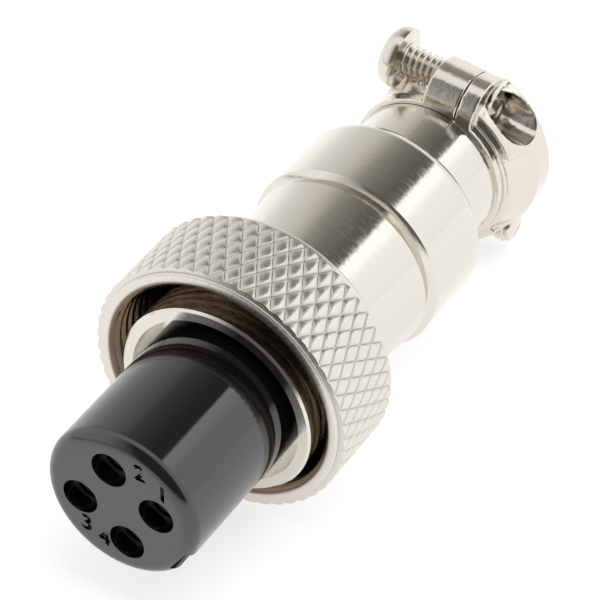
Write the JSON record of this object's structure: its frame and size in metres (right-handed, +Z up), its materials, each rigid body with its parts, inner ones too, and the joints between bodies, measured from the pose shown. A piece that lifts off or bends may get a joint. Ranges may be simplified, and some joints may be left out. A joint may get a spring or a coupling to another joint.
{
  "type": "microphone connector",
  "caption": "Round cable plug for a microphone: black socket insert, knurled screw coupling nut, nickel-plated back shell and a screwed cable clamp.",
  "frame": {"origin": "on the connector's axis at the front face of the insert's sleeve, where the mating socket's rim stops", "axes": "+X along the axis from the mating end to the cable end, +Z up through the upper clamp screw's ear (the clamp stands 7 degrees round from it), +Y towards the screw heads"},
  "size_m": [0.0426, 0.018, 0.018],
  "materials": {
    "insert_plastic": "moulded black thermoset, glossy",
    "plated_shell": "turned brass, bright nickel plate",
    "plated_nut": "knurled brass, bright nickel plate",
    "plated_screw": "steel, nickel plate",
    "contact_metal": "brass, silver plate"
  },
  "bodies": {
    "plug": {"insert": "insert_plastic", "insert_sleeve": "plated_shell", "back_shell": "plated_shell", "set_screw": "plated_screw", "contact_1": "contact_metal", "contact_2": "contact_metal", "contact_3": "contact_metal", "contact_4": "contact_metal"},
    "nut": {"coupling_nut": "plated_nut"},
    "saddle": {"clamp_saddle": "plated_shell"},
    "upper_screw": {"clamp_screw_upper": "plated_screw"},
    "lower_screw": {"clamp_screw_lower": "plated_screw"}
  },
  "joints": [
    {"name": "nut_spin", "type": "hinge", "parent": "plug", "child": "nut", "pos_m": [0, 0, 0.0007], "axis": [1, 0, 0], "continuous": true},
    {"name": "saddle_open", "type": "slide", "parent": "plug", "child": "saddle", "axis": [0, 0.9925, 0.1219], "range_m": [0, 0.002]},
    {"name": "lower_screw_out", "type": "slide", "parent": "plug", "child": "lower_screw", "axis": [0, 0.9925, 0.1219], "range_m": [0, 0.002]},
    {"name": "upper_screw_travel", "type": "slide", "parent": "saddle", "child": "upper_screw", "axis": [0, 0.9925, 0.1219], "range_m": [-0.003, 0.001]}
  ],
  "couplings": [
    {"joint": "lower_screw_out", "follows": "saddle_open", "ratio": 1}
  ]
}
